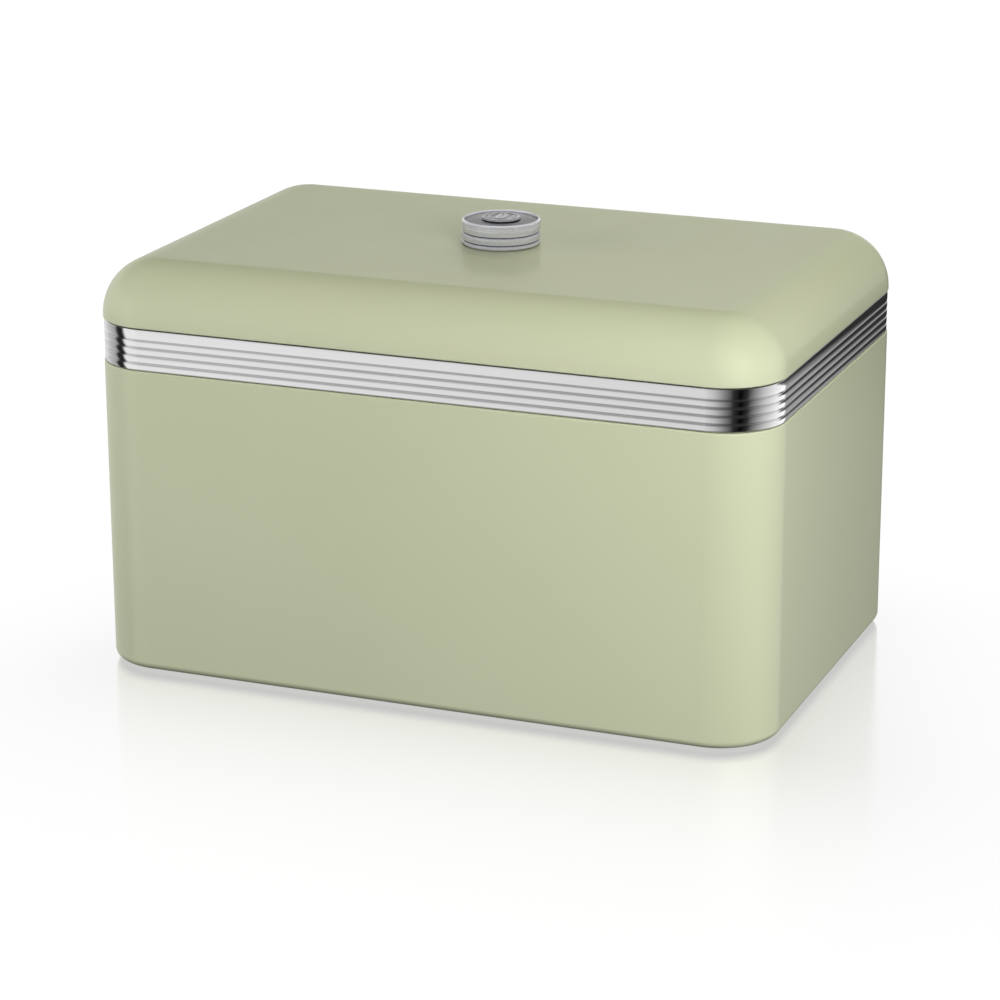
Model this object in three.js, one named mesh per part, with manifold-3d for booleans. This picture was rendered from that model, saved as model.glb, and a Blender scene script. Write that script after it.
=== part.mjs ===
// A lift-lid bread bin: a rounded rectangular bin of painted sheet steel with a ribbed stainless band
// under its lid, and a pressed lid with a ribbed round knob. Millimetres, +Z up, +X to the right, the
// front towards -Y. The origin is the middle of the footprint, on the surface that the feet stand on.
import * as THREE from 'three';
import { mergeVertices } from 'three/addons/utils/BufferGeometryUtils.js';
import Module from 'manifold-3d';

const wasm = await Module();
wasm.setup();

// Driving dimensions.
const WIDTH = 345;
const DEPTH = 227;
const CORNER_RADIUS = 30;
const SHEET = 0.6; // thickness of the painted steel sheet
const GAP = 0.3; // left between pieces that touch
const THROUGH = 1; // how far a cutting shape reaches past the face that it cuts

// Heights above the surface.
const WALL_BOTTOM = 1.5; // how far the feet lift the wall's bottom edge
const WALL_TOP = 154.4;
const LID_EDGE = 175.5; // lower edge of the lid, just above the band
const LID_TOP = 204.7;
const LID_FILLET = 28; // round from the lid's side to its top
const PAN_BOTTOM = WALL_BOTTOM + SHEET + GAP; // underside of the base pan
const PAN_TOP = PAN_BOTTOM + SHEET;
const FLANGE_TOP = 14; // the base pan's upturned flange
const RIM_TOP = LID_EDGE - 0.6; // the rolled rim that the lid rests on

// Insets, measured in from the outer face of the wall and the lid.
const BAND_INSET = 0.5;
const BAND_SHEET = 0.45;
const NECK_INSET = 2.3;
const SKIRT_INSET = 5.7; // the lid collar's skirt, inside the mouth
const BOTTOM_RADIUS = 4;

// Feet, measured in from the wall's outer faces.
const FOOT_INSET = 30;
const FOOT_NECK = 3.2;
const FEET = [
  ['foot_front_left', FOOT_INSET - WIDTH / 2, FOOT_INSET - DEPTH / 2],
  ['foot_front_right', WIDTH / 2 - FOOT_INSET, FOOT_INSET - DEPTH / 2],
  ['foot_back_left', FOOT_INSET - WIDTH / 2, DEPTH / 2 - FOOT_INSET],
  ['foot_back_right', WIDTH / 2 - FOOT_INSET, DEPTH / 2 - FOOT_INSET],
];

// Knob, about the Z axis.
const KNOB_RADIUS = 19.3;
const KNOB_HEIGHT = 12.2;
const KNOB_BOTTOM = LID_TOP + GAP;
const KNOB_TOP = KNOB_BOTTOM + KNOB_HEIGHT;
const CAP_SEAT = KNOB_TOP - 1.9;
const CAP_RADIUS = 18;
const PAD_RADIUS = 13;
const PAD_RECESS = 1.1;

// The knob's fastening, stacked down from the inside of the lid.
const SCREW_RADIUS = 2.1;
const SCREW_HOLE = 2.8;
const FACE_GAP = 0.2; // between one fastener and the next
const WASHER_THICK = 1.2;
const WASHER_TOP = LID_TOP - SHEET - FACE_GAP;
const LOCK_TOP = WASHER_TOP - WASHER_THICK - FACE_GAP;
const HEAD_TOP = LOCK_TOP - WASHER_THICK - FACE_GAP;

// How finely the round shapes are cut.
const CORNER_STEPS = 6;
const FILLET_STEPS = 7;
const ROUND_STEPS = 32;
const SMALL_STEPS = 24;
const FOOT_STEPS = 20;

const paint = new THREE.MeshStandardMaterial({ color: 0xb9be9b, roughness: 0.35, metalness: 0 });
const bandSteel = new THREE.MeshStandardMaterial({ color: 0xd6d6d8, roughness: 0.28, metalness: 1 });
const knobSteel = new THREE.MeshStandardMaterial({ color: 0xb4b5b9, roughness: 0.3, metalness: 1 });
const zincSteel = new THREE.MeshStandardMaterial({ color: 0xa9aaa6, roughness: 0.4, metalness: 1 });
const rubber = new THREE.MeshStandardMaterial({ color: 0x2b2b2b, roughness: 0.8, metalness: 0 });
const silicone = new THREE.MeshStandardMaterial({ color: 0xe4e6e2, roughness: 0.5, metalness: 0 });

// ---- Shapes ----

const quarterArc = (middle, radius, from, steps) =>
  Array.from({ length: steps + 1 }, (_, i) => {
    const angle = from + (i / steps) * (Math.PI / 2);
    return [middle[0] + radius * Math.cos(angle), middle[1] + radius * Math.sin(angle)];
  });

// Moves a point of a round outline out to its own corner of the bin's plan.
const toCorner = (x, y) => [
  x + Math.sign(x) * (WIDTH / 2 - CORNER_RADIUS),
  y + Math.sign(y) * (DEPTH / 2 - CORNER_RADIUS),
];

// The bin's plan at an inset, as a polygon whose straight sides lie exactly at that inset.
function plan(inset) {
  const step = Math.PI / 2 / CORNER_STEPS;
  const radius = (CORNER_RADIUS - inset) / Math.cos(step / 2);
  const points = [];
  for (let i = 0; i < 4 * CORNER_STEPS; i++) {
    const angle = step * (i + 0.5);
    const [x, y] = toCorner(radius * Math.cos(angle), radius * Math.sin(angle));
    points.push(new THREE.Vector2(x, y));
  }
  return new THREE.Shape(points);
}

const prism = (inset, low, high) =>
  new THREE.ExtrudeGeometry(plan(inset), { depth: high - low, bevelEnabled: false }).translate(0, 0, low);

// A block with the bin's plan, both ends rounded over by a quarter circle.
function pillow(inset, round, low, high) {
  const options = {
    depth: high - low - 2 * round,
    bevelThickness: round,
    bevelSize: round,
    bevelSegments: FILLET_STEPS,
  };
  return new THREE.ExtrudeGeometry(plan(inset + round), options).translate(0, 0, low + round);
}

// A lathe's faces look outwards when its outline runs up the outside.
const facingOut = (points) => (THREE.ShapeUtils.isClockWise(points) ? points.reverse() : points);

// A ring with the bin's plan. Its outline is a closed list of [inset, z]. A lathe turns the outline
// into a round ring of the corner radius, and each quarter of it then moves out to its own corner of
// the plan.
function ring(outline) {
  const halfStep = Math.PI / 4 / CORNER_STEPS;
  const scale = 1 / Math.cos(halfStep); // so that the flats, and not the corners, lie on the true radius
  const points = facingOut(outline.map(([inset, z]) => new THREE.Vector2((CORNER_RADIUS - inset) * scale, z)));
  points.push(points[0].clone());
  const geometry = new THREE.LatheGeometry(points, 4 * CORNER_STEPS, halfStep).rotateX(Math.PI / 2);
  const at = geometry.attributes.position;
  for (let i = 0; i < at.count; i++) {
    const [x, y] = toCorner(at.getX(i), at.getY(i));
    at.setXY(i, x, y);
  }
  return geometry;
}

// A turned piece about Z, from [radius, z] points that start and end on the axis or close on
// themselves.
function turned(outline, steps = ROUND_STEPS) {
  const points = facingOut(outline.map(([r, z]) => new THREE.Vector2(r, z)));
  return new THREE.LatheGeometry(points, steps).rotateX(Math.PI / 2);
}

const washer = (inner, outer, low, high) =>
  turned([[inner, low], [outer, low], [outer, high], [inner, high], [inner, low]]);

const cylinder = (radius, low, high) =>
  new THREE.CylinderGeometry(radius, radius, high - low, ROUND_STEPS)
    .rotateX(Math.PI / 2)
    .translate(0, 0, (low + high) / 2);

const box = (x, y, z, at) => new THREE.BoxGeometry(x, y, z).translate(...at);

const slab = (low, high) => box(2 * WIDTH, 2 * DEPTH, high - low, [0, 0, (low + high) / 2]);

// ---- Cutting and joining ----

function toSolid(geometry) {
  const bare = new THREE.BufferGeometry().setAttribute('position', geometry.attributes.position);
  if (geometry.index) bare.setIndex(geometry.index);
  const merged = mergeVertices(bare, 1e-4);
  const mesh = new wasm.Mesh({
    numProp: 3,
    vertProperties: new Float32Array(merged.attributes.position.array),
    triVerts: new Uint32Array(merged.index.array),
  });
  return new wasm.Manifold(mesh);
}

function toGeometry(solid) {
  const { vertProperties, triVerts } = solid.getMesh();
  return new THREE.BufferGeometry()
    .setAttribute('position', new THREE.BufferAttribute(vertProperties, 3))
    .setIndex(new THREE.BufferAttribute(triVerts, 1));
}

const cut = (geometry, ...tools) =>
  toGeometry(tools.reduce((solid, tool) => solid.subtract(toSolid(tool)), toSolid(geometry)));

const joined = (a, b) => toGeometry(toSolid(a).add(toSolid(b)));

// ---- The bin ----

// The wrapped wall: its bottom edge turns in under the base pan, and its top edge turns in to carry
// the band.
function wallGeometry() {
  const lipEnd = 9;
  const bottomMiddle = [BOTTOM_RADIUS, WALL_BOTTOM + BOTTOM_RADIUS];
  const shoulder = 0.8;
  const [bottomSteps, shoulderSteps] = [4, 3];
  const inside = quarterArc(bottomMiddle, BOTTOM_RADIUS - SHEET, Math.PI, bottomSteps).reverse();
  return ring([
    [lipEnd, WALL_BOTTOM + SHEET],
    ...inside,
    [SHEET, WALL_TOP - SHEET],
    [NECK_INSET - GAP, WALL_TOP - SHEET],
    [NECK_INSET - GAP, WALL_TOP],
    ...quarterArc([shoulder, WALL_TOP - shoulder], shoulder, Math.PI / 2, shoulderSteps),
    ...quarterArc(bottomMiddle, BOTTOM_RADIUS, Math.PI, bottomSteps),
    [lipEnd, WALL_BOTTOM],
  ]);
}

// The inner ring welded to the top of the wall: a flange inside the wall, a step in, and a rolled rim.
function neckGeometry() {
  const flangeInset = SHEET + GAP;
  const flangeBottom = 143;
  const stepLow = 150;
  const stepHigh = 152;
  const bead = 1.4;
  const beadMiddle = [NECK_INSET + bead, RIM_TOP - bead];
  const rollSteps = 10;
  const rollAngle = 1.62 * Math.PI; // from the outer face, over the top, to the inner face
  const roll = Array.from({ length: rollSteps + 1 }, (_, i) => {
    const angle = Math.PI - (i / rollSteps) * rollAngle;
    return [beadMiddle[0] + bead * Math.cos(angle), beadMiddle[1] + bead * Math.sin(angle)];
  });
  return ring([
    [flangeInset + SHEET, flangeBottom],
    [flangeInset, flangeBottom],
    [flangeInset, stepLow],
    [NECK_INSET, stepHigh],
    ...roll,
    [NECK_INSET + SHEET, beadMiddle[1] - 1.5 * bead],
    [NECK_INSET + SHEET, stepHigh],
    [flangeInset + SHEET, stepLow],
  ]);
}

// The base: a tray with a rounded edge and an upturned flange, a raised panel and a hole for each foot.
function basePanGeometry() {
  const inset = SHEET + GAP;
  const round = BOTTOM_RADIUS - inset;
  const [panelInset, panelRise] = [48, 1];
  const tray = cut(
    pillow(inset, round, PAN_BOTTOM, FLANGE_TOP + 2 * round),
    pillow(inset + SHEET, round - SHEET, PAN_TOP, FLANGE_TOP + 3 * round),
    slab(FLANGE_TOP, FLANGE_TOP + 4 * round),
  );
  const raised = joined(tray, panelBlock(panelInset, PAN_BOTTOM + SHEET / 2, PAN_TOP + panelRise));
  const holes = FEET.map(([, x, y]) =>
    cylinder(FOOT_NECK + GAP, PAN_BOTTOM - THROUGH, PAN_TOP + THROUGH).translate(x, y, 0),
  );
  const hollow = panelBlock(panelInset + SHEET, PAN_BOTTOM - THROUGH, PAN_BOTTOM + panelRise);
  return cut(raised, hollow, ...holes);
}

// A rounded rectangle as a block. A plan this far in has no corner radius of its own left.
function panelBlock(inset, low, high) {
  const [x, y, r] = [WIDTH / 2 - inset, DEPTH / 2 - inset, 12];
  const shape = new THREE.Shape()
    .absarc(x - r, y - r, r, 0, Math.PI / 2)
    .absarc(r - x, y - r, r, Math.PI / 2, Math.PI)
    .absarc(r - x, r - y, r, Math.PI, 1.5 * Math.PI)
    .absarc(x - r, r - y, r, 1.5 * Math.PI, 2 * Math.PI);
  const options = { depth: high - low, bevelEnabled: false, curveSegments: 4 };
  return new THREE.ExtrudeGeometry(shape, options).translate(0, 0, low);
}

// The ribbed stainless band: one thin strip with four V grooves, its edges folded in, meeting at the
// back.
function bandGeometry() {
  const [bottom, top] = [WALL_TOP + GAP, LID_EDGE - 0.4];
  const foldEnd = NECK_INSET - GAP;
  const [pitch, halfGroove, grooveDepth, edge] = [3.85, 0.45, 0.5, 0.3];
  const grooves = [1, 2, 3, 4].flatMap((i) => {
    const z = WALL_TOP + i * pitch;
    return [[0, z - halfGroove], [grooveDepth, z], [0, z + halfGroove]];
  });
  const face = [[edge, bottom], [0, bottom + edge], ...grooves, [0, top - edge], [edge, top]];
  const back = [[0, bottom + BAND_SHEET], ...grooves, [0, top - BAND_SHEET]];
  const outer = face.map(([x, z]) => [BAND_INSET + x, z]);
  const inner = back.map(([x, z]) => [BAND_INSET + BAND_SHEET + x, z]);
  const strip = ring([
    [foldEnd, bottom + BAND_SHEET],
    ...inner,
    [foldEnd, top - BAND_SHEET],
    [foldEnd, top],
    ...outer.reverse(),
    [foldEnd, bottom],
  ]);
  const jointWidth = 0.4;
  return cut(strip, box(jointWidth, 10, 2 * LID_TOP, [0, DEPTH / 2, 0]));
}

// The strap behind the band's joint, which its two ends are welded to.
function strapGeometry() {
  const [width, thickness, height] = [16, 0.35, 16];
  const behindGrooves = 0.7;
  const inset = BAND_INSET + BAND_SHEET + behindGrooves;
  return box(width, thickness, height, [0, DEPTH / 2 - inset - thickness / 2, (WALL_TOP + LID_EDGE) / 2]);
}

// A push-in rubber foot: a disc under the base pan, a neck through its hole and a domed head above it.
function footGeometry() {
  const [base, widest, seat, headRadius, domeRadius] = [8.2, 9, 8.6, 5, 4.2];
  const outline = [
    [0, 0],
    [base, 0],
    [widest, 0.6],
    [seat, PAN_BOTTOM - GAP],
    [FOOT_NECK, PAN_BOTTOM - GAP],
    [FOOT_NECK, PAN_TOP + GAP],
    [headRadius, PAN_TOP + GAP],
    [domeRadius, PAN_TOP + 1.6],
    [0, PAN_TOP + 2.2],
  ];
  return turned(outline, FOOT_STEPS);
}

// ---- The lid ----

// The pressed lid: a shell rounded over at the top, its lower edge turned in, with a hole for the
// knob's screw.
function lidGeometry() {
  const hem = 2.6;
  const low = LID_EDGE - 60; // both blocks reach below the lid's edge and are cut off there
  const outside = cut(pillow(0, LID_FILLET, low, LID_TOP), slab(low - THROUGH, LID_EDGE));
  const inside = cut(
    pillow(SHEET, LID_FILLET - SHEET, low, LID_TOP - SHEET),
    slab(low - THROUGH, LID_EDGE + SHEET),
  );
  const mouth = prism(hem, LID_EDGE - THROUGH, LID_EDGE + SHEET + THROUGH);
  const screwHole = cylinder(SCREW_HOLE, LID_TOP - SHEET - THROUGH, LID_TOP + THROUGH);
  return cut(outside, inside, mouth, screwHole);
}

// The collar that locates the lid: a flange lying on the lid's turned-in edge and a skirt down into
// the mouth.
function collarGeometry() {
  const flangeBottom = LID_EDGE + SHEET + GAP;
  const skirtBottom = 163;
  return ring([
    [SHEET + GAP, flangeBottom],
    [SKIRT_INSET, flangeBottom],
    [SKIRT_INSET, skirtBottom + 1],
    [SKIRT_INSET + SHEET / 2, skirtBottom],
    [SKIRT_INSET + SHEET, skirtBottom],
    [SKIRT_INSET + SHEET, flangeBottom + SHEET],
    [SHEET + GAP, flangeBottom + SHEET],
  ]);
}

// The seal ring between the collar's flange and the rolled rim of the neck.
function sealGeometry() {
  const [outer, inner] = [2.9, SKIRT_INSET - GAP];
  const [bottom, top, round] = [LID_EDGE - 0.3, LID_EDGE + SHEET, 0.3];
  return ring([
    [outer + round, bottom],
    [inner - round, bottom],
    [inner, bottom + round],
    [inner, top],
    [outer, top],
    [outer, bottom + round],
  ]);
}

// ---- The knob ----

// The ribbed barrel: a cup with two V grooves round it, open at the top for the cap, recessed below
// for its pad.
function barrelGeometry() {
  const [groove, half, topEdge, bottomEdge] = [0.7, 0.5, 0.7, 0.4];
  const grooveDepths = [6.1, 10.1]; // down from the top
  const [recess, socket, inner, bore] = [PAD_RADIUS + GAP, CAP_RADIUS + 0.2, 17, 4.7];
  const floorBottom = KNOB_BOTTOM + PAD_RECESS;
  const floorTop = floorBottom + 2;
  const side = grooveDepths.flatMap((down) => [
    [KNOB_RADIUS, KNOB_TOP - down + half],
    [KNOB_RADIUS - groove, KNOB_TOP - down],
    [KNOB_RADIUS, KNOB_TOP - down - half],
  ]);
  return turned([
    [recess, KNOB_BOTTOM],
    [KNOB_RADIUS - bottomEdge, KNOB_BOTTOM],
    [KNOB_RADIUS, KNOB_BOTTOM + bottomEdge],
    ...side.reverse(),
    [KNOB_RADIUS, KNOB_TOP - topEdge],
    [KNOB_RADIUS - topEdge, KNOB_TOP],
    [socket, KNOB_TOP],
    [socket, CAP_SEAT],
    [inner, CAP_SEAT],
    [inner, floorTop],
    [bore, floorTop],
    [bore, floorBottom],
    [recess, floorBottom],
    [recess, KNOB_BOTTOM],
  ]);
}

// The flat disc that closes the barrel, with the emblem on it.
function capGeometry() {
  const clearance = 0.1;
  const edge = 0.4;
  const [bottom, top] = [CAP_SEAT + clearance, KNOB_TOP - clearance];
  return turned([
    [0, bottom],
    [CAP_RADIUS, bottom],
    [CAP_RADIUS, top - edge / 2],
    [CAP_RADIUS - edge, top],
    [0, top],
  ]);
}

// A plain round medallion: a raised edge round a lower, domed middle.
function emblemGeometry() {
  const [radius, rimTop, sunk, dome] = [9.6, 1, 0.6, 1.1];
  return turned([
    [0, KNOB_TOP],
    [radius, KNOB_TOP],
    [radius, KNOB_TOP + sunk],
    [radius - 0.5, KNOB_TOP + rimTop],
    [radius - 1.3, KNOB_TOP + rimTop],
    [radius - 1.8, KNOB_TOP + sunk],
    [4, KNOB_TOP + 0.9],
    [0, KNOB_TOP + dome],
  ]);
}

// The flanged threaded insert in the barrel's floor, with a blind hole for the screw.
function insertGeometry() {
  const bottom = KNOB_BOTTOM + 1.2;
  const flange = KNOB_BOTTOM + 3.2;
  const top = KNOB_BOTTOM + 9.6;
  const crown = 1.2; // left solid above the blind hole
  const hole = SCREW_RADIUS + 0.1;
  const [neck, flangeRadius, body, flangeThick] = [4.5, 8, 5, 2];
  const outline = [
    [0, top - crown],
    [hole, top - crown],
    [hole, bottom],
    [neck, bottom],
    [neck, flange],
    [flangeRadius, flange],
    [flangeRadius, flange + flangeThick],
    [body, flange + flangeThick],
    [body, top],
    [0, top],
  ];
  return turned(outline, SMALL_STEPS);
}

const padGeometry = () => washer(SCREW_HOLE, PAD_RADIUS, LID_TOP + 0.1, KNOB_BOTTOM + 0.9);

const washerGeometry = () => washer(2.75, 10, WASHER_TOP - WASHER_THICK, WASHER_TOP);

// A split spring washer: a plain ring with one narrow slanting slot through it.
function lockWasherGeometry() {
  const [slotWidth, slotSlant] = [0.7, 0.35];
  const slot = new THREE.BoxGeometry(6, slotWidth, 6)
    .rotateX(slotSlant)
    .translate(5, 0, LOCK_TOP - WASHER_THICK / 2);
  return cut(washer(2.65, 4.6, LOCK_TOP - WASHER_THICK, LOCK_TOP), slot);
}

// The pan-head screw, put in from inside the lid, with a cross recess in its head.
function screwGeometry() {
  const [headRadius, headHeight, point, tip] = [4.75, 3.2, 0.8, KNOB_BOTTOM + 7.9];
  const bottom = HEAD_TOP - headHeight;
  const outline = [
    [0, bottom],
    [2.6, bottom + 0.15],
    [4.1, bottom + 0.9],
    [headRadius, bottom + 2],
    [headRadius, HEAD_TOP],
    [SCREW_RADIUS, HEAD_TOP],
    [SCREW_RADIUS, tip - point],
    [SCREW_RADIUS - point, tip],
    [0, tip],
  ];
  const [slotLength, slotWidth, slotHeight] = [5, 1, 1.6];
  const slotMiddle = [0, 0, bottom + 0.7];
  return cut(
    turned(outline, SMALL_STEPS),
    box(slotLength, slotWidth, slotHeight, slotMiddle),
    box(slotWidth, slotLength, slotHeight, slotMiddle),
  );
}

// ---- Assembly ----

function piece(name, geometry, material) {
  const mesh = new THREE.Mesh(geometry, material);
  mesh.name = name;
  return mesh;
}

const bin = new THREE.Group();
bin.add(
  piece('body_wall', wallGeometry(), paint),
  piece('neck_ring', neckGeometry(), paint),
  piece('base_pan', basePanGeometry(), paint),
  piece('trim_band', bandGeometry(), bandSteel),
  piece('band_joint_strap', strapGeometry(), zincSteel),
);
for (const [name, x, y] of FEET) {
  const foot = piece(name, footGeometry(), rubber);
  foot.position.set(x, y, 0);
  bin.add(foot);
}

const lid = new THREE.Group();
lid.add(
  piece('lid_shell', lidGeometry(), paint),
  piece('lid_collar', collarGeometry(), paint),
  piece('lid_seal', sealGeometry(), silicone),
  piece('knob_barrel', barrelGeometry(), knobSteel),
  piece('knob_cap', capGeometry(), knobSteel),
  piece('knob_emblem', emblemGeometry(), knobSteel),
  piece('knob_insert', insertGeometry(), zincSteel),
  piece('knob_pad', padGeometry(), silicone),
  piece('knob_washer', washerGeometry(), zincSteel),
  piece('knob_lock_washer', lockWasherGeometry(), zincSteel),
  piece('knob_screw', screwGeometry(), zincSteel),
);

const breadBin = new THREE.Group();
breadBin.add(bin, lid);

export default breadBin;
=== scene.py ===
# The bread bin's looks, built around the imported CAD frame. Metres, in the frame of the CAD.
import math

import bmesh
import bpy
from mathutils import Matrix, Vector

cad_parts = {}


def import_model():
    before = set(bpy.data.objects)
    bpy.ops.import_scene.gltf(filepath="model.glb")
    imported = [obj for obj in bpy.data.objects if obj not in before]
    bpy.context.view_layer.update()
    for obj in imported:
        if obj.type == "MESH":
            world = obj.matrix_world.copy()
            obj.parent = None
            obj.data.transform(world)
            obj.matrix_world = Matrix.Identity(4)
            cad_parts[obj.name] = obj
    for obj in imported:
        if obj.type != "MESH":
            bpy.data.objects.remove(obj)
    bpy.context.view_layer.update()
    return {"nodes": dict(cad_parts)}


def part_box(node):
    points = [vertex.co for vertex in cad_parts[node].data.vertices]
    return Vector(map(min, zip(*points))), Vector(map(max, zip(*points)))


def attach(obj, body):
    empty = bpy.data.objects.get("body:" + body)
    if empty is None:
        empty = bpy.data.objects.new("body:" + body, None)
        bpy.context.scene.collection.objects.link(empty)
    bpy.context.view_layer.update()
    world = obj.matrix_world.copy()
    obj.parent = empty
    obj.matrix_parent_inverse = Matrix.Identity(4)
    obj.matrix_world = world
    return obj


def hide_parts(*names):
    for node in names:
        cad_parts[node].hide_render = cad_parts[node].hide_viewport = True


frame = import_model()

MM = 0.001

# Driving dimensions, taken from the frame where it has them.
wall_low, wall_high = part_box("body_wall")
lid_low, lid_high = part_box("lid_shell")
band_low, band_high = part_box("trim_band")
knob_low, knob_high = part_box("knob_barrel")
HALF_WIDTH = wall_high.x
HALF_DEPTH = wall_high.y
WALL_BOTTOM = wall_low.z
WALL_TOP = wall_high.z
LID_EDGE = lid_low.z
LID_TOP = lid_high.z
KNOB_RADIUS = knob_high.x
KNOB_TOP = knob_high.z
KNOB_BOTTOM = knob_low.z

CORNER_RADIUS = 30 * MM
SHEET = 0.6 * MM
GAP = 0.3 * MM
LID_FILLET = 28 * MM
BOTTOM_RADIUS = 4 * MM
NECK_INSET = 2.3 * MM
BAND_INSET = 0.5 * MM

# The heights above the medallion's underside of its edge and of the field that its relief rises from.
MEDALLION_EDGE = 0.42 * MM
MEDALLION_FIELD = 0.54 * MM

CORNER_STEPS = 20
ROUND_STEPS = 96
KNOB_STEPS = 160
RIB_STEPS = 6
ON_AXIS = 1e-7  # a smaller radius is a point on the axis


# ---- Meshes ----


def arc(middle, radius, start, end, steps):
    """Points on an arc in (inset or radius, height), with the angles in degrees."""
    turns = [math.radians(start + (end - start) * i / steps) for i in range(steps + 1)]
    return [(middle[0] + radius * math.cos(t), middle[1] + radius * math.sin(t)) for t in turns]


def softened(points, radius, closed=True, steps=3):
    """The outline with each of its corners rounded, by up to the radius."""
    count = len(points)
    most = 0.45  # how much of a side the rounding at one of its ends may take
    result = []
    for i, point in enumerate(points):
        if not closed and i in (0, count - 1):
            result.append(point)
            continue
        here = Vector(point)
        before = Vector(points[i - 1]) - here
        after = Vector(points[(i + 1) % count]) - here
        start = here + before.normalized() * min(radius, most * before.length)
        end = here + after.normalized() * min(radius, most * after.length)
        for k in range(steps + 1):
            t = k / steps
            result.append(tuple(start * (1 - t) ** 2 + here * 2 * t * (1 - t) + end * t * t))
    return result


def plan_ring(inset, z):
    """The bin's plan at an inset, as a closed ring of points that starts at the back left corner."""
    radius = CORNER_RADIUS - inset
    centre = Vector((HALF_WIDTH - CORNER_RADIUS, HALF_DEPTH - CORNER_RADIUS))
    ring = []
    for corner in range(4):
        sign_x = (-1, -1, 1, 1)[corner]
        sign_y = (1, -1, -1, 1)[corner]
        for i in range(CORNER_STEPS + 1):
            turn = math.radians(90 + 90 * corner + 90 * i / CORNER_STEPS)
            x = sign_x * centre.x + radius * math.cos(turn)
            y = sign_y * centre.y + radius * math.sin(turn)
            ring.append(Vector((x, y, z)))
    return ring


def circle_ring(radius, z, like):
    """A circle whose points lie in the same directions as another ring's."""
    return [Vector((p.x, p.y, 0)).normalized() * radius + Vector((0, 0, z)) for p in like]


def round_ring(radius, z, steps=ROUND_STEPS):
    """A circle about the vertical axis, which is a single point where it has no radius."""
    if radius < ON_AXIS:
        return [Vector((0, 0, z))]
    turns = [math.tau * i / steps for i in range(steps)]
    return [Vector((radius * math.cos(t), radius * math.sin(t), z)) for t in turns]


def strip_faces(bm, one, two, closed):
    """The faces between two rings of vertices, either of which may be a single point."""
    count = max(len(one), len(two))
    for i in range(count if closed else count - 1):
        j = (i + 1) % count
        if len(one) == 1:
            bm.faces.new((one[0], two[j], two[i]))
        elif len(two) == 1:
            bm.faces.new((one[i], one[j], two[0]))
        else:
            bm.faces.new((one[i], one[j], two[j], two[i]))


def loft(name, rings, wrap=False, closed=True):
    """A mesh through a list of rings. With wrap, the last ring joins the first. Open rings get end faces with
    sharp edges."""
    bm = bmesh.new()
    rows = [[bm.verts.new(p) for p in ring] for ring in rings]
    following = rows[1:] + rows[:1] if wrap else rows[1:]
    for one, two in zip(rows, following):
        strip_faces(bm, one, two, closed)
    if not closed:
        for end in ([row[0] for row in rows], [row[-1] for row in reversed(rows)]):
            for edge in bm.faces.new(end).edges:
                edge.smooth = False
    bmesh.ops.recalc_face_normals(bm, faces=bm.faces)
    return finished(name, bm)


def finished(name, bm):
    """The bmesh as an object that shades smoothly except at sharp edges, with its flat faces kept flat."""
    for face in bm.faces:
        face.smooth = True
    mesh = bpy.data.meshes.new(name)
    bm.to_mesh(mesh)
    bm.free()
    piece = bpy.data.objects.new(name, mesh)
    bpy.context.scene.collection.objects.link(piece)
    normals = piece.modifiers.new("flat faces stay flat", "WEIGHTED_NORMAL")
    normals.keep_sharp = True
    return piece


def swept(name, outline):
    """A closed outline of (inset, height) taken all round the bin's plan."""
    return loft(name, [plan_ring(inset, z) for inset, z in outline], wrap=True)


def turned(name, outline, steps=ROUND_STEPS):
    """An outline of (radius, height) turned about the vertical axis. It is closed on itself unless both ends
    are on the axis."""
    on_axis = outline[0][0] < ON_AXIS and outline[-1][0] < ON_AXIS
    return loft(name, [round_ring(r, z, steps) for r, z in outline], wrap=not on_axis)


def fit(piece, body, material, slot, *nodes):
    """Gives a piece its body, its material and the CAD nodes it stands for."""
    piece.data.materials.append(material)
    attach(piece, body)
    if nodes:
        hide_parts(*nodes)
    return piece


# ---- Materials ----

FINE = 5200  # the scale of brush lines and of metal's grain, per metre


def add_node(tree, kind, inputs, **settings):
    """A shader node with these settings, each input given as a value or as the socket that feeds it."""
    made = tree.nodes.new("ShaderNode" + kind)
    for key, value in settings.items():
        setattr(made, key, value)
    for key, value in inputs.items():
        if isinstance(value, bpy.types.NodeSocket):
            tree.links.new(value, made.inputs[key])
        else:
            made.inputs[key].default_value = value
    return made


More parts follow.
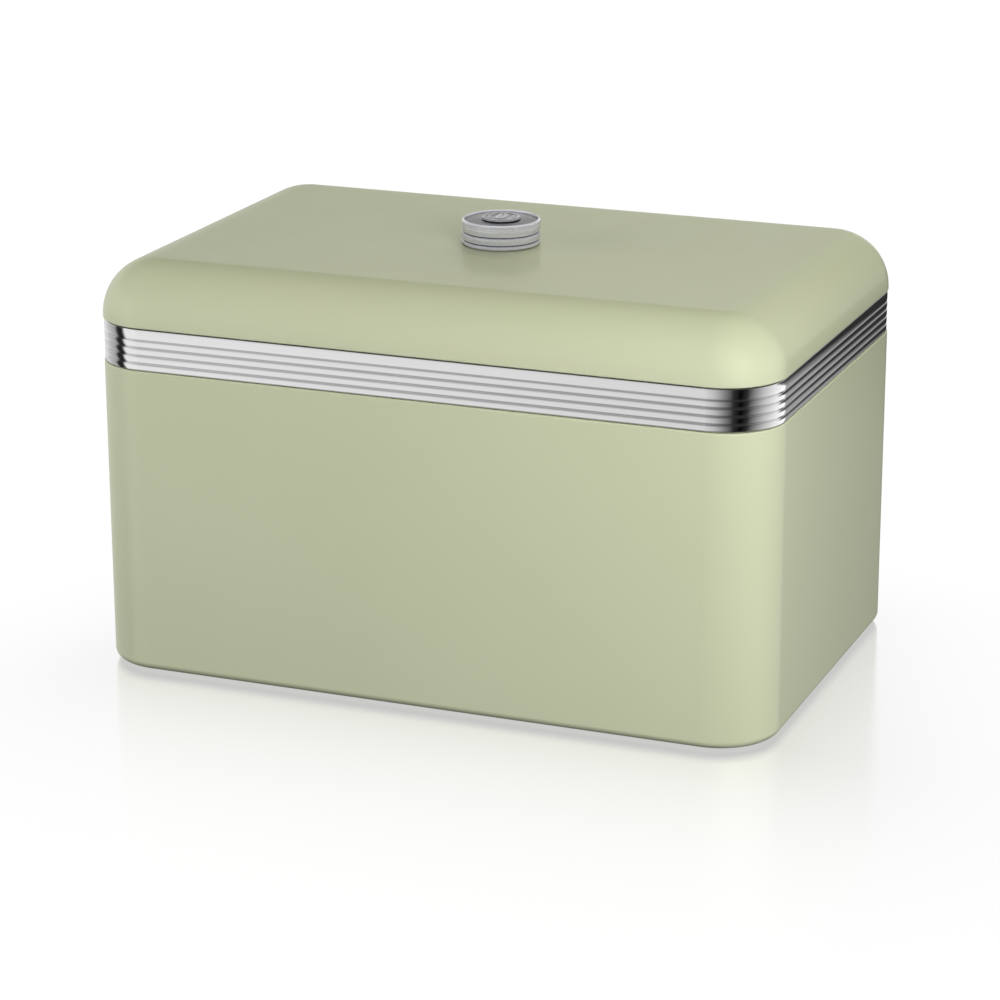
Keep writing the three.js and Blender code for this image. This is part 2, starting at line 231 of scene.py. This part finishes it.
class Look:
    """A material's node tree, with one short call for each node."""

    def __init__(self, name, **sockets):
        self.material = bpy.data.materials.new(name)
        self.material.use_nodes = True
        self.tree = self.material.node_tree
        self.shader = self.tree.nodes["Principled BSDF"]
        for socket, value in sockets.items():
            self.shader.inputs[socket.replace("_", " ")].default_value = value

    def node(self, kind, inputs, **settings):
        return add_node(self.tree, kind, inputs, **settings)

    def place(self, scale=(1, 1, 1)):
        """Where a point is on the object, in metres, stretched by a scale."""
        here = self.node("TexCoord", {}).outputs["Object"]
        return self.node("Mapping", {"Vector": here, "Scale": scale}).outputs["Vector"]

    def split(self):
        """The same place as its X, Y and Z."""
        here = self.node("TexCoord", {}).outputs["Object"]
        return self.node("SeparateXYZ", {"Vector": here}).outputs

    def noise(self, where, scale, detail=2.0, roughness=0.5):
        inputs = {"Vector": where, "Scale": scale, "Detail": detail, "Roughness": roughness}
        return self.node("TexNoise", inputs).outputs["Fac"]

    def spread(self, value, low, high, start=0.3, end=0.7):
        """The value, from start to end, spread from low to high."""
        inputs = {"Value": value, "From Min": start, "From Max": end, "To Min": low, "To Max": high}
        return self.node("MapRange", inputs).outputs["Result"]

    def blend(self, factor, one, two):
        """Two colours mixed, each given as three values or as a socket."""
        made = self.node("Mix", {"Factor": factor}, data_type="RGBA")
        for socket, value in ((6, one), (7, two)):  # a Mix node's colour inputs are its seventh and eighth
            if isinstance(value, bpy.types.NodeSocket):
                self.tree.links.new(value, made.inputs[socket])
            else:
                made.inputs[socket].default_value = (*value, 1)
        return made.outputs[2]

    def bump(self, height, distance, strength=1.0):
        inputs = {"Height": height, "Distance": distance, "Strength": strength}
        return self.node("Bump", inputs).outputs["Normal"]

    def surface(self, shader):
        """The material, with another shader in place of its own."""
        self.tree.links.new(shader, self.tree.nodes["Material Output"].inputs["Surface"])
        return self.material

    def use(self, **links):
        """The material, with sockets linked to its shader."""
        for socket, value in links.items():
            self.tree.links.new(value, self.shader.inputs[socket.replace("_", " ")])
        return self.material


def painted_steel():
    """Sage green enamel: slightly uneven in tone, with orange peel and a soft gloss."""
    look = Look("sage_enamel", Metallic=0.08, Coat_Weight=0.3, Coat_Roughness=0.11, Specular_IOR_Level=0.03)
    where = look.place()
    cloud = look.spread(look.noise(where, 9, 3), 0, 1)
    tone = look.blend(cloud, (0.424, 0.446, 0.290), (0.436, 0.458, 0.300))
    fleck = look.spread(look.noise(where, 2600, 1), 0, 0.12, 0.7, 0.8)
    colour = look.blend(fleck, tone, (0.36, 0.38, 0.26))
    gloss = look.spread(look.noise(where, 45, 4), 0.4, 0.46)
    peel = look.bump(look.noise(where, 620, 2), 0.012 * MM)
    return look.use(Base_Color=colour, Roughness=gloss, Normal=peel)


def polished_steel():
    """Polished stainless steel, with the faint lines of the rolls that formed it running along the band."""
    look = Look("polished_stainless", Metallic=1.0)
    lines = look.noise(look.place((14, 14, FINE)), 1, 3, 0.7)
    colour = look.blend(look.spread(lines, 0, 1), (0.80, 0.80, 0.805), (0.86, 0.86, 0.865))
    gloss = look.spread(look.noise(look.place(), 38, 4, 0.6), 0.05, 0.10)
    ripples = look.bump(lines, 0.0012 * MM, 0.6)
    return look.use(Base_Color=colour, Roughness=gloss, Normal=ripples)


def brushed_steel(name, colour_low, colour_high, metallic, grooves=None):
    """Stainless steel turned and brushed round the vertical axis. The less metallic it is, the more the
    brushing spreads the light. Given grooves, as the radius and the height that they lie within, it has
    painted shade in them and a painted highlight at the knob's top edge, both as flat colours."""
    look = Look(name, Metallic=metallic, Anisotropic=0.6)
    place = look.split()
    flat = look.node("CombineXYZ", {"X": place["X"], "Y": place["Y"]}).outputs["Vector"]
    radius = look.node("VectorMath", {0: flat}, operation="LENGTH").outputs["Value"]
    drift = look.spread(look.noise(look.place(), 180, 2), 0, 0.12 * MM)
    across = look.node("CombineXYZ", {"X": radius, "Y": drift, "Z": place["Z"]}).outputs["Vector"]
    stretched = look.node("Mapping", {"Vector": across, "Scale": (FINE, FINE, FINE)}).outputs["Vector"]
    lines = look.noise(stretched, 1, 4, 0.75)
    colour = look.blend(look.spread(lines, 0, 1), colour_low, colour_high)
    if grooves:
        # painted shade: a dark colour that fills the grooves; painted highlight: a bright colour for the
        # knob's top edge
        painted_groove_shade, painted_rim_highlight = (0.12, 0.12, 0.128), (0.86, 0.86, 0.88)
        rim, top = grooves
        inside = look.spread(radius, 1, 0, rim - 0.3 * MM, rim)
        below = look.spread(place["Z"], 1, 0, top - 0.2 * MM, top)
        # the grooves, where the painted shade goes
        groove = look.node("Math", {0: inside, 1: below}, operation="MULTIPLY").outputs[0]
        colour = look.blend(groove, colour, painted_groove_shade)
        # the knob's top edge, where the painted highlight goes; it is made less metallic there so that the
        # painted highlight shows
        edge = look.spread(place["Z"], 0, 1, KNOB_TOP - 0.7 * MM, KNOB_TOP - 0.4 * MM)
        colour = look.blend(edge, colour, painted_rim_highlight)
        look.use(Metallic=look.spread(edge, metallic, 0.4, 0, 1))
    gloss = look.spread(lines, 0.24, 0.34)
    scratches = look.bump(lines, 0.004 * MM, 0.7)
    return look.use(Base_Color=colour, Roughness=gloss, Normal=scratches)


def struck_steel():
    """The medallion: bright relief on a darkened field, and a side painted bright as a highlight, over the
    shade and the dark reflection of the cap that it would show.
    """
    look = Look("struck_stainless", Metallic=0.6)
    height = look.split()["Z"]
    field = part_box("knob_emblem")[0].z + MEDALLION_FIELD
    raised = look.spread(height, 0, 1, field + 0.04 * MM, field + 0.3 * MM)
    grain = look.noise(look.place(), FINE, 3, 0.7)
    colour = look.blend(raised, (0.32, 0.32, 0.335), (0.92, 0.92, 0.94))
    # painted highlight: the medallion's side wall gets a bright colour that covers its shade and the dark
    # reflection of the cap
    side = look.spread(height, 1, 0, field - 0.2 * MM, field - 0.1 * MM)
    colour = look.blend(side, colour, (0.8, 0.8, 0.82))
    gloss = look.spread(grain, 0.2, 0.34)
    return look.use(Base_Color=colour, Roughness=gloss, Normal=look.bump(grain, 0.006 * MM))


def plated_steel():
    """Zinc plated fasteners: dull, cloudy and slightly warm."""
    look = Look("zinc_plate", Metallic=1.0)
    cloud = look.noise(look.place(), 900, 4, 0.6)
    colour = look.blend(look.spread(cloud, 0, 1), (0.46, 0.45, 0.42), (0.60, 0.60, 0.58))
    gloss = look.spread(cloud, 0.32, 0.48)
    return look.use(Base_Color=colour, Roughness=gloss, Normal=look.bump(cloud, 0.01 * MM))


def moulded(name, dark, light, roughness):
    """A moulded rubber with a fine even grain."""
    look = Look(name, Specular_IOR_Level=0.35)
    grain = look.noise(look.place(), 3200, 3, 0.6)
    cloud = look.noise(look.place(), 120, 2)
    colour = look.blend(look.spread(cloud, 0, 1), dark, light)
    gloss = look.spread(grain, roughness - 0.06, roughness + 0.06)
    return look.use(Base_Color=colour, Roughness=gloss, Normal=look.bump(grain, 0.02 * MM))


PAINT = painted_steel()
POLISHED = polished_steel()
BRUSHED = brushed_steel("brushed_stainless", (0.54, 0.54, 0.585), (0.74, 0.74, 0.80), 0.66,
                        grooves=(KNOB_RADIUS - 0.4 * MM, KNOB_TOP - 3 * MM))
SATIN = brushed_steel("satin_stainless", (0.27, 0.27, 0.282), (0.40, 0.40, 0.412), 1.0)
STRUCK = struck_steel()
PLATED = plated_steel()
RUBBER = moulded("black_rubber", (0.018, 0.018, 0.018), (0.028, 0.028, 0.028), 0.62)
SILICONE = moulded("seal_silicone", (0.66, 0.68, 0.64), (0.72, 0.74, 0.70), 0.45)


# ---- The bin ----


def body_wall():
    """The wall, with its bottom edge turned in under the base and its top edge turned in below the band."""
    lip_end = 9 * MM
    shoulder = 0.8 * MM
    low = (BOTTOM_RADIUS, WALL_BOTTOM + BOTTOM_RADIUS)
    high = (shoulder, WALL_TOP - shoulder)
    outline = [(lip_end, WALL_BOTTOM)]
    outline += arc(low, BOTTOM_RADIUS, 270, 180, 10)
    outline += arc(high, shoulder, 180, 90, 5)
    outline += [(NECK_INSET - GAP, WALL_TOP), (NECK_INSET - GAP, WALL_TOP - SHEET)]
    outline += arc(high, shoulder - SHEET, 90, 180, 3)
    outline += arc(low, BOTTOM_RADIUS - SHEET, 180, 270, 10)
    outline += [(lip_end, WALL_BOTTOM + SHEET)]
    return fit(swept("wall", outline), "bin", PAINT, "paint", "body_wall")


def neck():
    """The ring inside the top of the wall, with the rolled rim that the lid rests on."""
    low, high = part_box("neck_ring")
    flange = SHEET + GAP
    bead = 1.4 * MM
    middle = (NECK_INSET + bead, high.z - bead)
    step_low, step_high = WALL_TOP - 4.4 * MM, WALL_TOP - 2.4 * MM
    outline = [(flange + SHEET, low.z), (flange, low.z), (flange, step_low), (NECK_INSET, step_high)]
    outline += arc(middle, bead, 180, -112, 18)
    outline += [(NECK_INSET + SHEET, middle[1] - 1.5 * bead), (NECK_INSET + SHEET, step_high)]
    outline += [(flange + SHEET, step_low)]
    return fit(swept("neck", outline), "bin", PAINT, "paint", "neck_ring")


def base_pan():
    """The base: a tray with a rounded edge and a raised middle panel."""
    low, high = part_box("base_pan")
    inset = SHEET + GAP
    radius = BOTTOM_RADIUS - inset
    centre = (BOTTOM_RADIUS, low.z + radius)
    rise = 1 * MM
    ramp = ((46.5 * MM, 0), (49.5 * MM, rise))  # round the panel, as (inset, height)
    hub = 2 * MM
    under = [(inset, high.z)] + arc(centre, radius, 180, 270, 8)
    over = [(inset + SHEET, high.z)] + arc(centre, radius - SHEET, 180, 270, 8)
    rings = [plan_ring(i, z) for i, z in under]
    rings += [panel_ring(edge, low.z + lift) for edge, lift in ramp]
    rings += [circle_ring(hub, low.z + rise, rings[0]), circle_ring(hub, low.z + rise + SHEET, rings[0])]
    rings += [panel_ring(edge, low.z + SHEET + lift) for edge, lift in reversed(ramp)]
    rings += [plan_ring(i, z) for i, z in reversed(over)]
    return fit(loft("base", rings, wrap=True), "bin", PAINT, "paint", "base_pan")


def panel_ring(inset, z):
    """A rounded rectangle with its sides at an inset, in the order of plan_ring."""
    radius = 12 * MM
    shift = inset - CORNER_RADIUS + radius
    plan = plan_ring(CORNER_RADIUS - radius, z)
    return [Vector((p.x - math.copysign(shift, p.x), p.y - math.copysign(shift, p.y), z)) for p in plan]


def trim_band():
    """The polished band: five slightly rounded ribs parted by V grooves. Its edges are folded in and its ends
    meet at the back."""
    low, high = band_low.z, band_high.z
    sheet = 0.45 * MM
    edge = 0.25 * MM
    bulge = 0.13 * MM
    pitch, half, depth = 3.85 * MM, 0.36 * MM, 0.6 * MM
    fold = NECK_INSET - GAP
    valleys = [WALL_TOP + i * pitch for i in range(1, 5)]
    starts = [low + edge] + [z + half for z in valleys]
    ends = [z - half for z in valleys] + [high - edge]
    outer = [(fold, low), (BAND_INSET + edge, low)]
    for start, end in zip(starts, ends):
        for i in range(RIB_STEPS + 1):
            t = i / RIB_STEPS
            outer.append((BAND_INSET - bulge * 4 * t * (1 - t), start + (end - start) * t))
        outer.append((BAND_INSET + depth, end + half))
    outer[-1:] = [(BAND_INSET + edge, high), (fold, high)]
    inner = [(fold, low + sheet), (BAND_INSET + sheet, low + sheet)]
    for z in valleys:
        inner += [(BAND_INSET + sheet + x, z + dz) for x, dz in ((0, -half), (depth, 0), (0, half))]
    inner += [(BAND_INSET + sheet, high - sheet), (fold, high - sheet)]
    outline = softened(outer + inner[::-1], 0.07 * MM, steps=2)
    split = 0.2 * MM
    rings = []
    for x, z in outline:
        ring = plan_ring(x, z)
        back = HALF_DEPTH - x
        rings.append([Vector((-split, back, z)), *ring, Vector((split, back, z))])
    return fit(loft("band", rings, wrap=True, closed=False), "bin", POLISHED, "band_steel", "trim_band")


def foot(node):
    """A push-in rubber foot: a ridged disc, a neck through the base and a domed head."""
    low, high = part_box(node)
    pan_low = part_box("base_pan")[0]
    seat = pan_low.z - GAP
    top = pan_low.z + SHEET + GAP
    neck_radius = 3.2 * MM
    outline = [(0, 0.25 * MM), (4.5 * MM, 0.25 * MM), (4.9 * MM, 0), (6.2 * MM, 0), (6.6 * MM, 0.3 * MM)]
    outline += [(7 * MM, 0), (8.2 * MM, 0), (9 * MM, 0.6 * MM), (8.6 * MM, seat), (neck_radius, seat)]
    outline += [(neck_radius, top), (5 * MM, top), (4.2 * MM, high.z - 0.6 * MM), (0, high.z)]
    piece = turned("pad_" + node, softened(outline, 0.35 * MM, closed=False), steps=48)
    piece.location = ((low.x + high.x) / 2, (low.y + high.y) / 2, 0)
    return fit(piece, "bin", RUBBER, "rubber", node)


# ---- The lid ----


def lid_shell():
    """The pressed lid: one sheet, from its turned-in lower edge to the hole for the screw."""
    hem = 2.6 * MM
    hole = 2.8 * MM
    edge = 0.5 * MM
    side = LID_TOP - LID_FILLET
    centre = (LID_FILLET, side)
    outside = [(hem, LID_EDGE)] + arc((edge, LID_EDGE + edge), edge, 270, 180, 4)
    outside += arc(centre, LID_FILLET, 180, 90, 28)
    inside = arc(centre, LID_FILLET - SHEET, 90, 180, 28)
    inside += [(SHEET, LID_EDGE + SHEET), (hem, LID_EDGE + SHEET)]
    rings = [plan_ring(i, z) for i, z in outside]
    rings += [circle_ring(hole, LID_TOP, rings[-1]), circle_ring(hole, LID_TOP - SHEET, rings[-1])]
    rings += [plan_ring(i, z) for i, z in inside]
    return fit(loft("lid_panel", rings, wrap=True), "lid", PAINT, "paint", "lid_shell")


def lid_collar():
    """The collar: a flange on the lid's turned-in edge and a skirt that goes down into the mouth."""
    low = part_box("lid_collar")[0]
    skirt = 5.7 * MM
    reach = SHEET + GAP
    top = LID_EDGE + 2 * SHEET + GAP
    outline = [(reach, top - SHEET), (skirt, top - SHEET), (skirt, low.z + 1 * MM)]
    outline += [(skirt + SHEET / 2, low.z), (skirt + SHEET, low.z), (skirt + SHEET, top), (reach, top)]
    return fit(swept("collar", softened(outline, 0.25 * MM)), "lid", PAINT, "paint", "lid_collar")


def lid_seal():
    """The seal ring between the collar and the rolled rim."""
    low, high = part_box("lid_seal")
    outer, inner = 2.9 * MM, 5.4 * MM
    outline = [(outer, low.z), (inner, low.z), (inner, high.z), (outer, high.z)]
    return fit(swept("seal", softened(outline, 0.35 * MM)), "lid", SILICONE, "silicone", "lid_seal")


# ---- The knob ----

CAP_RADIUS = 18 * MM
CAP_SEAT = KNOB_TOP - 1.9 * MM
DOME_STEPS = 24


def knob_barrel():
    """The ribbed barrel: each rib leans in towards the V groove below it."""
    r = KNOB_RADIUS
    lean, notch, open_half, taper = 0.35 * MM, 0.95 * MM, 0.35 * MM, 2.1 * MM
    rim = 0.75 * MM
    side = [(r - 0.55 * MM, KNOB_BOTTOM), (r - 0.15 * MM, KNOB_BOTTOM + 0.35 * MM)]
    side += [(r - 0.1 * MM, KNOB_TOP - 10.45 * MM)]
    for groove, rib_top in ((10.1 * MM, 6.45 * MM), (6.1 * MM, rim)):
        z = KNOB_TOP - groove
        side += [(r - notch, z), (r - lean, z + open_half), (r, z + taper), (r, KNOB_TOP - rib_top)]
    mouth, bore, hole, pad = CAP_RADIUS + 0.2 * MM, 17 * MM, 4.7 * MM, 13.3 * MM
    deck_low, deck_high = KNOB_BOTTOM + 1.1 * MM, KNOB_BOTTOM + 3.1 * MM
    side += [(r - rim, KNOB_TOP), (mouth, KNOB_TOP)]
    inside = [(mouth, CAP_SEAT), (bore, CAP_SEAT), (bore, deck_high), (hole, deck_high)]
    inside += [(hole, deck_low), (pad, deck_low), (pad, KNOB_BOTTOM)]
    outline = softened(side, 0.3 * MM, closed=False, steps=4) + inside
    return fit(turned("knob", outline, KNOB_STEPS), "lid", BRUSHED, "knob_steel", "knob_barrel")


def knob_cap():
    """The disc that closes the barrel, slightly domed."""
    low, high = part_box("knob_cap")
    fall = 0.85 * MM
    edge = 0.15 * MM
    outline = [(0, low.z), (CAP_RADIUS, low.z), (CAP_RADIUS, high.z - fall - edge)]
    for i in range(DOME_STEPS):
        share = 1 - i / DOME_STEPS
        outline.append(((CAP_RADIUS - edge) * share, high.z - fall * share * share))
    outline.append((0, high.z))
    return fit(turned("knob_top", outline, KNOB_STEPS), "lid", SATIN, "knob_steel", "knob_cap")


# The parts of the medallion's relief. A bump's size is its half length and its half width.
BEAD_RING = 8.55 * MM
BEADS = 44
BEAD = (0.56 * MM, 0.56 * MM)
GRAIN_PAIRS = 5
GRAIN = (1.55 * MM, 0.72 * MM)
STALK = (0.32 * MM, 5 * MM)
LEAF_RING = 6.1 * MM
LEAVES = 5  # on each side
LEAF = (1.25 * MM, 0.55 * MM)
LINE_RING = 7.3 * MM


def ear_of_wheat():
    """The grains of one ear as (x, y, turn): pairs that lean out from the stalk, and one at its tip."""
    tip, first, pitch, out = 5.1 * MM, 3.6 * MM, 1.65 * MM, 1.5 * MM
    lean = math.radians(50)
    grains = [(0, tip, math.radians(90))]
    for i in range(GRAIN_PAIRS):
        y = first - pitch * i
        grains += [(out, y, lean), (-out, y, math.pi - lean)]
    return grains


def bump_height(x, y, middle, half, turn, rise):
    """The height of an oval bump at a point."""
    dx, dy = x - middle[0], y - middle[1]
    along = (dx * math.cos(turn) + dy * math.sin(turn)) / half[0]
    across = (dy * math.cos(turn) - dx * math.sin(turn)) / half[1]
    return rise * math.sqrt(max(0, 1 - along * along - across * across))


def relief(x, y):
    """The relief's height: an ear of wheat between two stems of leaves, in a line and a ring of beads."""
    radius = math.hypot(x, y)
    turn = math.atan2(y, x)
    step = math.tau / BEADS
    nearest = round(turn / step) * step
    bead = (BEAD_RING * math.cos(nearest), BEAD_RING * math.sin(nearest))
    height = bump_height(x, y, bead, BEAD, 0, 0.5 * MM)
    for gx, gy, lean in ear_of_wheat():
        height = max(height, bump_height(x, y, (gx, gy), GRAIN, lean, 0.55 * MM))
    height = max(height, bump_height(x, y, (0, -2 * MM), STALK, 0, 0.4 * MM))
    for side in (-1, 1):
        for i in range(LEAVES):
            way = math.radians(90 - side * (52 + 19 * i))
            leaf = (LEAF_RING * math.cos(way), LEAF_RING * math.sin(way))
            height = max(height, bump_height(x, y, leaf, LEAF, way + side * 2.2, 0.45 * MM))
    line = max(0, 1 - abs(radius - LINE_RING) / (0.25 * MM))
    return max(height, 0.3 * MM * line)


def medallion():
    """A round medallion with a generic relief of an ear of wheat."""
    low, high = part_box("knob_emblem")
    r = high.x
    rows, steps = 72, 240
    margin = 0.2 * MM
    edge, field = low.z + MEDALLION_EDGE, low.z + MEDALLION_FIELD
    rings = [round_ring(0, low.z, steps), round_ring(r, low.z, steps), round_ring(r, edge, steps)]
    for i in range(1, rows):
        ring = round_ring((r - margin) * (1 - i / rows), 0, steps)
        rings.append([Vector((p.x, p.y, field + relief(p.x, p.y))) for p in ring])
    rings.append([Vector((0, 0, field + relief(0, 0)))])
    return fit(loft("medallion", rings), "lid", STRUCK, "knob_steel", "knob_emblem")


# ---- The studio ----

# The camera, and the point that it looks at: how far that is above the table, and to the right of the middle.
AZIMUTH = 21.7
ELEVATION = 17.74
ROLL = math.radians(-0.15)
DISTANCE = 1.675
AIM_HEIGHT = 0.0709 + WALL_BOTTOM
AIM_RIGHT = -0.00096
LENS = 120.13
SENSOR = 36

FLOOR_MIRROR = 0.48  # how much of the floor's look is its reflection, where the bin stands
FLOOR_FADE = 0.08  # the distance over which that falls to about a third
FLOOR_GLOW = 1.02  # the brightness of the rest
FLOOR_SHEEN = (1.15, 1.15, 1.15, 1)  # the colour of the reflection
FLOOR_REACH = 12  # half the floor's side

# The lights' colours, distances and sizes, and the height of the point that they look at.
WHITE = (1, 1, 1)
WARM_WHITE = (1, 1, 0.98)
WARM = (1, 1, 0.85)
COOL = (1, 1, 1.09)
NEAR, FAR = 0.9, 1.2
SMALL, WIDE, LARGE = (0.5, 0.5), (0.6, 0.5), (0.8, 0.8)
LIT_HEIGHT = 0.1


def towards(azimuth, elevation):
    """A direction from the bin, in degrees: round from the front to the right, and up."""
    turn, lift = math.radians(azimuth), math.radians(elevation)
    return Vector((math.sin(turn) * math.cos(lift), -math.cos(turn) * math.cos(lift), math.sin(lift)))


def camera():
    """The view from the front, a little to the right and above."""
    back = towards(AZIMUTH, ELEVATION)
    level = towards(AZIMUTH + 90, 0)
    up = back.cross(level)
    right = level * math.cos(ROLL) + up * math.sin(ROLL)
    up = up * math.cos(ROLL) - level * math.sin(ROLL)
    data = bpy.data.cameras.new("camera")
    data.lens = LENS
    data.sensor_width = SENSOR
    view = bpy.data.objects.new("camera", data)
    place = level * AIM_RIGHT + Vector((0, 0, AIM_HEIGHT)) + back * DISTANCE
    view.matrix_world = Matrix.Translation(place) @ Matrix((right, up, back)).transposed().to_4x4()
    bpy.context.scene.collection.objects.link(view)
    bpy.context.scene.camera = view


def floor():
    """A plain white floor that mirrors the bin softly where they meet, and less with each step away."""
    bm = bmesh.new()
    bmesh.ops.create_grid(bm, x_segments=8, y_segments=8, size=FLOOR_REACH)
    piece = finished("floor", bm)
    look = Look("floor_white")
    here = look.node("TexCoord", {}).outputs["Object"]
    sides = look.node("VectorMath", {0: here}, operation="ABSOLUTE").outputs["Vector"]
    footprint = (HALF_WIDTH - CORNER_RADIUS, HALF_DEPTH - CORNER_RADIUS, 0)
    past = look.node("VectorMath", {0: sides, 1: footprint}, operation="SUBTRACT").outputs["Vector"]
    outside = look.node("VectorMath", {0: past, 1: (0, 0, 0)}, operation="MAXIMUM").outputs["Vector"]
    away = look.node("VectorMath", {0: outside}, operation="LENGTH").outputs["Value"]
    inputs = {0: away, 1: -1 / FLOOR_FADE, 2: CORNER_RADIUS / FLOOR_FADE}
    fade = look.node("Math", inputs, operation="MULTIPLY_ADD").outputs[0]
    mirror = look.node("Math", {0: fade}, operation="EXPONENT").outputs[0]
    share = look.node("Math", {0: mirror, 1: FLOOR_MIRROR}, operation="MULTIPLY").outputs[0]
    share = look.node("Math", {0: share, 1: FLOOR_MIRROR}, operation="MINIMUM").outputs[0]
    white = look.node("Emission", {"Color": (*WHITE, 1), "Strength": FLOOR_GLOW}).outputs[0]
    sheen = look.node("BsdfAnisotropic", {"Color": FLOOR_SHEEN, "Roughness": 0.16}).outputs[0]
    both = look.node("MixShader", {0: share, 1: white, 2: sheen}).outputs[0]
    piece.data.materials.append(look.surface(both))
    piece.visible_diffuse = False
    piece.visible_glossy = False
    piece.visible_shadow = False


def dark_card():
    """A dark card lying behind the bin on the right, which only reflections see. It darkens the band's right
    side towards the back, and it is lighter along its front edge."""
    half = 0.6
    edge_width = 0.18
    bm = bmesh.new()
    bmesh.ops.create_grid(bm, x_segments=2, y_segments=2, size=half)
    piece = finished("dark_card", bm)
    piece.location = (0.5, 1.06, -1 * MM)
    look = Look("dark_card")
    level = look.spread(look.split()["Y"], 0.32, 0.03, -half, edge_width - half)
    glow = look.node("Emission", {"Color": (*WHITE, 1), "Strength": level}).outputs[0]
    piece.data.materials.append(look.surface(glow))
    piece.visible_camera = False
    piece.visible_diffuse = False
    piece.visible_shadow = False


def softbox(name, direction, distance, size, power, colour):
    """A soft rectangular light that looks at the bin from a direction, given as an azimuth and an elevation.
    It lights surfaces and leaves reflections to the world."""
    away = towards(*direction)
    data = bpy.data.lights.new(name, "AREA")
    data.shape = "RECTANGLE"
    data.size, data.size_y = size
    data.energy = power
    data.color = colour
    lamp = bpy.data.objects.new(name, data)
    lamp.location = away * distance + Vector((0, 0, LIT_HEIGHT))
    lamp.rotation_euler = away.to_track_quat("Z", "Y").to_euler()
    lamp.visible_camera = False
    lamp.visible_glossy = False
    bpy.context.scene.collection.objects.link(lamp)


# What reflections see round the bin, below the horizon and at it, as (azimuth in degrees, brightness). From
# the back round the left and the front to the back again, there are the white backdrop, a dark gap, a bright
# panel, the dark room behind the camera, and the backdrop once more, which is dimmer near its end.
LOW_SURROUND = (
    (-180, 0.12), (-172, 0.8), (-120, 0.75), (-84, 0.4), (-75, 0.02), (-62, 0.02), (-55, 0.95), (-32, 0.95),
    (0, 0.6), (19, 0.25), (34, 0.03), (47, 0.0), (60, 0.03), (79, 0.36), (96, 0.66), (120, 0.95), (146, 1.15),
    (157, 1.1), (161, 0.4), (180, 0.32),
)
LEVEL_SURROUND = (
    (-180, 0.95), (-80, 0.9), (-75, 0.02), (-62, 0.02), (-55, 0.8), (-32, 0.6), (0, 0.4), (19, 0.2),
    (34, 0.02), (60, 0.02), (84, 0.32), (108, 0.6), (128, 0.9), (150, 0.9), (158, 0.35), (173, 0.3),
    (179, 0.9), (180, 0.95),
)
CEILING = 0.12
ZENITH = 0.04
NADIR = 0.04

# Where one of them gives way to the next one up, as the sines of two elevations.
NADIR_TO_LOW = (-0.62, -0.45)
LOW_TO_LEVEL = (-0.12, 0.02)
LEVEL_TO_CEILING = (0.33, 0.43)
CEILING_TO_ZENITH = (0.8, 0.92)

# The level of the world's diffuse light from below and from above, and where the one gives way to the other.
DIFFUSE_LOW = 0.1
DIFFUSE_HIGH = 0.03
DIFFUSE_CHANGE = (0.03, 0.17)


def world():
    """White to the camera and a studio to everything else: two levels of diffuse light, and for reflections
    the two surrounds, between a dim ceiling and a dark nadir."""
    made = bpy.data.worlds.new("studio")
    made.use_nodes = True
    tree = made.node_tree

    def node(kind, inputs, **settings):
        return add_node(tree, kind, inputs, **settings)

    def mix(factor, one, two):
        return node("Mix", {"Factor": factor, "A": one, "B": two}, data_type="FLOAT").outputs[0]

    split = node("SeparateXYZ", {"Vector": node("TexCoord", {}).outputs["Generated"]}).outputs
    forward = node("Math", {0: split["Y"], 1: -1.0}, operation="MULTIPLY").outputs[0]
    azimuth = node("Math", {0: split["X"], 1: forward}, operation="ARCTAN2").outputs[0]
    share = node("Math", {0: azimuth, 1: 1 / math.tau, 2: 0.5}, operation="MULTIPLY_ADD").outputs[0]

    def surround(levels):
        ramp = node("ValToRGB", {"Fac": share})
        stops = ramp.color_ramp.elements
        while len(stops) < len(levels):
            stops.new(0.5)  # it moves to its place below
        for stop, (degrees, level) in zip(stops, levels):
            stop.position = degrees / 360 + 0.5
            stop.color = (level, level, level, 1)
        return ramp.outputs["Color"]

    def rise(low, high):
        return node("MapRange", {"Value": split["Z"], "From Min": low, "From Max": high}).outputs["Result"]

    gloss = mix(rise(*NADIR_TO_LOW), NADIR, surround(LOW_SURROUND))
    gloss = mix(rise(*LOW_TO_LEVEL), gloss, surround(LEVEL_SURROUND))
    gloss = mix(rise(*LEVEL_TO_CEILING), gloss, CEILING)
    gloss = mix(rise(*CEILING_TO_ZENITH), gloss, ZENITH)
    diffuse = mix(rise(*DIFFUSE_CHANGE), DIFFUSE_LOW, DIFFUSE_HIGH)
    ray = node("LightPath", {}).outputs
    seen = mix(ray["Is Camera Ray"], mix(ray["Is Glossy Ray"], diffuse, gloss), 1.0)
    sky = tree.nodes["Background"].inputs
    sky["Color"].default_value = (*WHITE, 1)
    tree.links.new(seen, sky["Strength"])
    made.cycles.sampling_method = "NONE"  # so that every ray that meets the world says what kind it is
    bpy.context.scene.world = made


camera()
bpy.context.scene.view_settings.view_transform = "Standard"
floor()
dark_card()
world()
softbox("front", (35, 35), NEAR, SMALL, 3.9, WARM_WHITE)
softbox("left", (-61, 12), NEAR, WIDE, 6.8, COOL)
softbox("right_front", (50, 12), NEAR, SMALL, 6.4, COOL)
softbox("right", (100, 12), NEAR, SMALL, 0.6, WHITE)
softbox("back_high", (180, 60), FAR, LARGE, 5.4, WARM)
softbox("back", (180, 15), FAR, LARGE, 7.0, WHITE)

body_wall()
neck()
base_pan()
trim_band()
for name in ("foot_front_left", "foot_front_right", "foot_back_left", "foot_back_right"):
    foot(name)
lid_shell()
lid_collar()
lid_seal()
knob_barrel()
knob_cap()
medallion()

for node, material in (("band_joint_strap", PLATED), ("knob_insert", PLATED), ("knob_washer", PLATED),
                       ("knob_lock_washer", PLATED), ("knob_screw", PLATED), ("knob_pad", SILICONE)):
    carried = frame["nodes"][node]
    carried.data.materials.clear()
    carried.data.materials.append(material)
